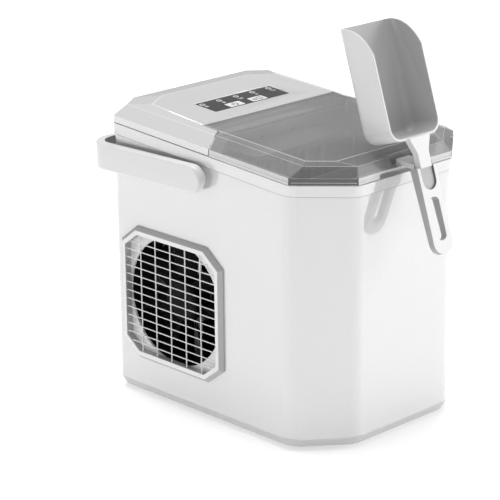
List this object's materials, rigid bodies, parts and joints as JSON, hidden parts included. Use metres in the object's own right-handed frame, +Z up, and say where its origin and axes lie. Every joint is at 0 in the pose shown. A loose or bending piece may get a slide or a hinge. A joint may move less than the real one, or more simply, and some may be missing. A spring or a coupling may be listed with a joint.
{
  "type": "countertop ice maker",
  "caption": "Countertop ice maker with chamfered body, smoke-clear lid, carrying handle, side fan grille and an ice scoop hung on a holder at the front.",
  "frame": {"origin": "on the table, under the middle of the body's plan outline", "axes": "+Z up, -Y towards the front with the scoop, -X towards the side with the fan grille"},
  "size_m": [0.246, 0.3479, 0.3801],
  "materials": {
    "white_plastic": "gloss, smooth moulded",
    "handle_plastic": "satin gloss",
    "grille_plastic": "satin gloss",
    "scoop_plastic": "satin gloss",
    "tub_plastic": "smooth moulded",
    "smoke_clear": "clear smoke-tinted moulding",
    "film": "printed film",
    "button_plastic": "satin",
    "lens": "clear lens",
    "black_plastic": "fine grain",
    "motor_plastic": "fine grain",
    "black_enamel": "gloss enamel",
    "steel": "plain",
    "coated_fins": "black coat on thin fins",
    "nickel": "plated",
    "copper": "drawn copper tube",
    "circuit_board": "solder mask",
    "foam": "cut foam",
    "silicone": "soft hose",
    "foot_rubber": "moulded rubber"
  },
  "bodies": {
    "machine": {"base_pan": "white_plastic", "rubber_feet": "foot_rubber", "body_shell": "white_plastic", "top_rim": "white_plastic", "rear_cover": "white_plastic", "control_film": "film", "led_lenses": "lens", "control_board": "circuit_board", "lid_hinge_pins": "steel", "handle_pivots": "handle_plastic", "vent_frame": "grille_plastic", "vent_grid": "grille_plastic", "fan_shroud": "grille_plastic", "fan_duct": "black_plastic", "fan_motor": "steel", "fan_bracket": "steel", "condenser": "coated_fins", "compressor": "black_enamel", "compressor_grommets": "foot_rubber", "filter_drier": "copper", "hot_gas_valve": "steel", "discharge_pipe": "copper", "liquid_pipe": "copper", "suction_pipe": "copper", "inner_tub": "tub_plastic", "insulation_wall": "foam", "freezer_bracket": "tub_plastic", "evaporator": "nickel", "tray_motor": "motor_plastic", "ice_sensors": "black_plastic", "water_pump": "motor_plastic", "pump_intake": "silicone", "pump_hose": "silicone", "drain_spout": "white_plastic", "power_inlet": "black_plastic", "power_board": "circuit_board"},
    "handle": {"handle": "handle_plastic"},
    "lid": {"lid": "smoke_clear"},
    "holder": {"scoop_holder": "scoop_plastic"},
    "scoop": {"scoop": "scoop_plastic"},
    "power_button": {"power_button": "button_plastic"},
    "select_button": {"select_button": "button_plastic"},
    "fan": {"fan_rotor": "black_plastic"},
    "tray": {"water_tray": "tub_plastic"},
    "basket": {"ice_basket": "tub_plastic"},
    "plug": {"drain_plug": "foot_rubber"}
  },
  "joints": [
    {"name": "handle_swing", "type": "hinge", "parent": "machine", "child": "handle", "pos_m": [0, 0.012, 0.2394], "axis": [1, 0, 0], "range_deg": [0, 96]},
    {"name": "lid_hinge", "type": "hinge", "parent": "machine", "child": "lid", "pos_m": [0, 0.01828, 0.27286], "axis": [-1, 0, 0], "range_deg": [0, 100]},
    {"name": "holder_lift", "type": "slide", "parent": "lid", "child": "holder", "axis": [0, -0.0619, 0.9981], "range_m": [0, 0.06]},
    {"name": "scoop_draw", "type": "slide", "parent": "holder", "child": "scoop", "axis": [0, 0.3082, 0.9513], "range_m": [0, 0.06]},
    {"name": "power_press", "type": "slide", "parent": "machine", "child": "power_button", "axis": [0, 0.0779, -0.997], "range_m": [0, 0.0006], "stiffness_N_per_m": 2000, "springref_m": -0.0003},
    {"name": "select_press", "type": "slide", "parent": "machine", "child": "select_button", "axis": [0, 0.0779, -0.997], "range_m": [0, 0.0006], "stiffness_N_per_m": 2000, "springref_m": -0.0003},
    {"name": "fan_spin", "type": "hinge", "parent": "machine", "child": "fan", "pos_m": [-0.0908, 0.051, 0.106], "axis": [1, 0, 0], "continuous": true},
    {"name": "tray_tilt", "type": "hinge", "parent": "machine", "child": "tray", "pos_m": [0, 0, 0.222], "axis": [1, 0, 0], "range_deg": [0, 58]},
    {"name": "basket_lift", "type": "slide", "parent": "machine", "child": "basket", "axis": [0, 0, 1], "range_m": [0, 0.08]},
    {"name": "drain_plug_pull", "type": "slide", "parent": "machine", "child": "plug", "axis": [1, 0, 0], "range_m": [0, 0.04]}
  ]
}
